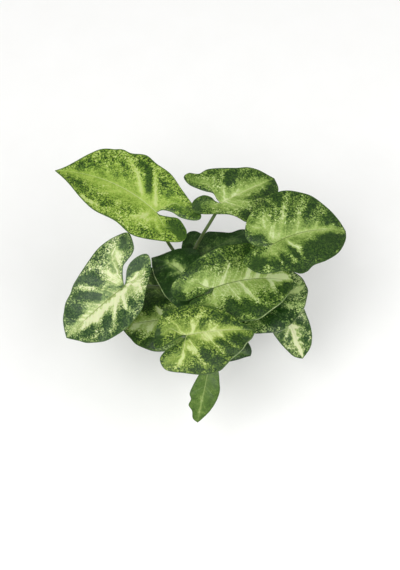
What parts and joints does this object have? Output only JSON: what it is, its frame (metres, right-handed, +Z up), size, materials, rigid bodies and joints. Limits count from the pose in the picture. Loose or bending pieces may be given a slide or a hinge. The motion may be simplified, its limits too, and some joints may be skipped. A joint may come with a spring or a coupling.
{
  "type": "potted arrowhead plant",
  "caption": "House plant with variegated, arrow-shaped leaves on thin arching stalks, which spread from short stems rooted in a small plastic nursery pot.",
  "frame": {"origin": "centre of the pot's flat underside, on the surface the pot stands on", "axes": "+Z up along the pot, +X to the right and +Y to the back of the plant as it is seen from its front"},
  "size_m": [0.2567, 0.2221, 0.1954],
  "materials": {
    "pot_plastic": "matte black moulded plastic with a faint sheen",
    "potting_soil": "dark crumbly bark and peat with pale perlite grains",
    "stem": "olive green to brown, ringed with papery leaf scars",
    "leaf_stalk": "smooth olive green, tinged pink to brown",
    "leaf_variegated": "satin yellow-green blade with cream veins and dark green mottling",
    "leaf_dark": "glossy dark green blade with paler veins",
    "leaf_young": "satin light green blade with pale veins"
  },
  "bodies": {
    "root": {"nursery_pot": "pot_plastic", "soil_root_ball": "potting_soil", "stem_back": "stem", "stem_left": "stem", "stem_front": "stem", "stem_right": "stem", "leaf_back_left": "leaf_variegated", "stalk_back_left": "leaf_stalk", "leaf_back": "leaf_variegated", "stalk_back": "leaf_stalk", "leaf_back_right": "leaf_variegated", "stalk_back_right": "leaf_stalk", "leaf_centre": "leaf_variegated", "stalk_centre": "leaf_stalk", "leaf_front": "leaf_variegated", "stalk_front": "leaf_stalk", "leaf_left": "leaf_variegated", "stalk_left": "leaf_stalk", "leaf_inner_left": "leaf_dark", "stalk_inner_left": "leaf_stalk", "leaf_inner_back": "leaf_dark", "stalk_inner_back": "leaf_stalk", "leaf_low_left": "leaf_variegated", "stalk_low_left": "leaf_stalk", "leaf_low_centre": "leaf_dark", "stalk_low_centre": "leaf_stalk", "leaf_right": "leaf_dark", "stalk_right": "leaf_stalk", "leaf_low_right": "leaf_variegated", "stalk_low_right": "leaf_stalk", "leaf_low_front": "leaf_dark", "stalk_low_front": "leaf_stalk", "leaf_young_front": "leaf_young", "stalk_young_front": "leaf_stalk"}
  },
  "joints": []
}
